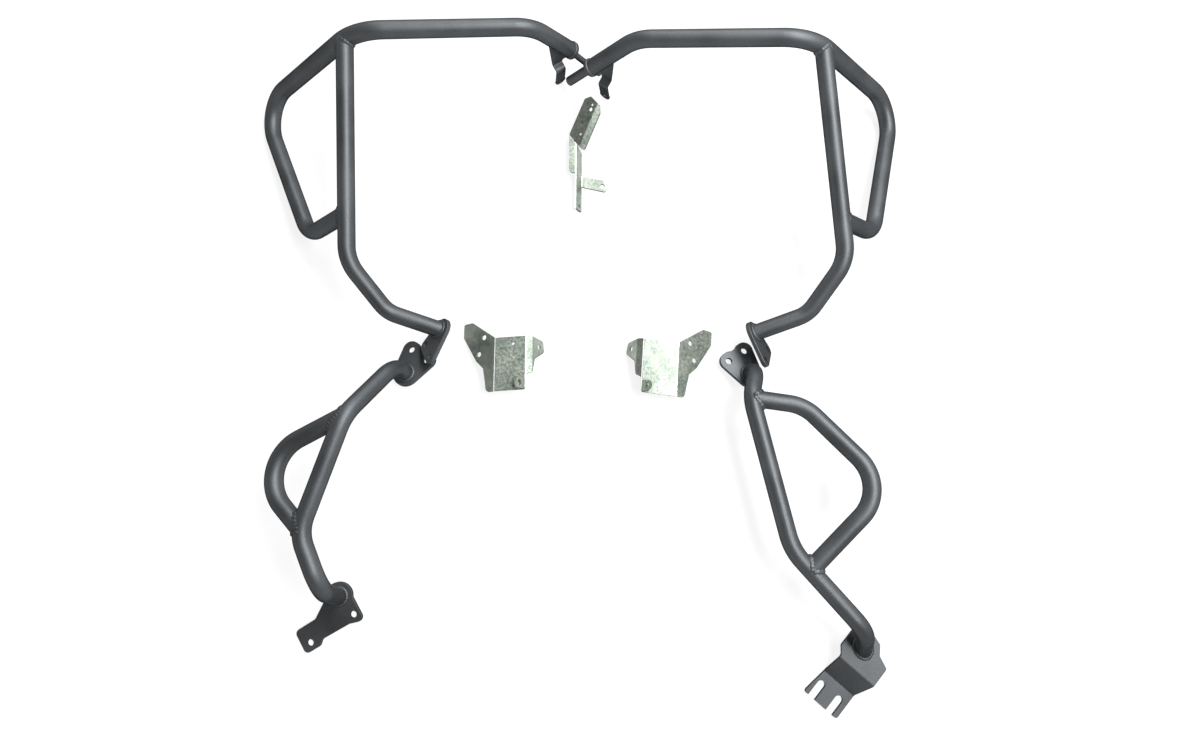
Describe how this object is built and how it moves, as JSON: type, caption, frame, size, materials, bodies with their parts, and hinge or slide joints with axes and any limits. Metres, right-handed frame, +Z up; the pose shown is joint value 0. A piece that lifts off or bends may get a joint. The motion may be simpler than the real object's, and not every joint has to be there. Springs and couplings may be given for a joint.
{
  "type": "motorcycle crash bars",
  "caption": "Motorcycle crash bars laid out as a kit: welded bent-tube upper and lower guards with loops, bolt-on lugs and plates, and folded zinc-plated fixing brackets.",
  "frame": {"origin": "on the floor, under the middle of the laid-out kit", "axes": "+X to the right of the layout, +Y towards the upper bars, +Z up from the floor"},
  "size_m": [1.05, 1.0416, 0.1887],
  "materials": {
    "powder_coat": "satin graphite-black powder coat with a fine texture",
    "zinc_plate": "mottled bright zinc plating on folded sheet steel"
  },
  "bodies": {
    "root": {"upper_left_rail": "powder_coat", "upper_left_upright": "powder_coat", "upper_left_foot_lug": "powder_coat", "upper_left_end_collar": "powder_coat", "upper_left_slip_rod": "powder_coat", "upper_left_fairing_tab": "powder_coat", "upper_right_rail": "powder_coat", "upper_right_upright": "powder_coat", "upper_right_foot_lug": "powder_coat", "upper_right_end_collar": "powder_coat", "upper_right_slip_socket": "powder_coat", "upper_right_fairing_tab": "powder_coat", "lower_left_main_tube": "powder_coat", "lower_left_loop": "powder_coat", "lower_left_engine_plate": "powder_coat", "lower_left_frame_plate": "powder_coat", "lower_right_main_tube": "powder_coat", "lower_right_loop": "powder_coat", "lower_right_engine_plate": "powder_coat", "lower_right_fork_plate": "powder_coat", "left_side_bracket": "zinc_plate", "right_side_bracket": "zinc_plate", "centre_bracket": "zinc_plate"}
  },
  "joints": []
}
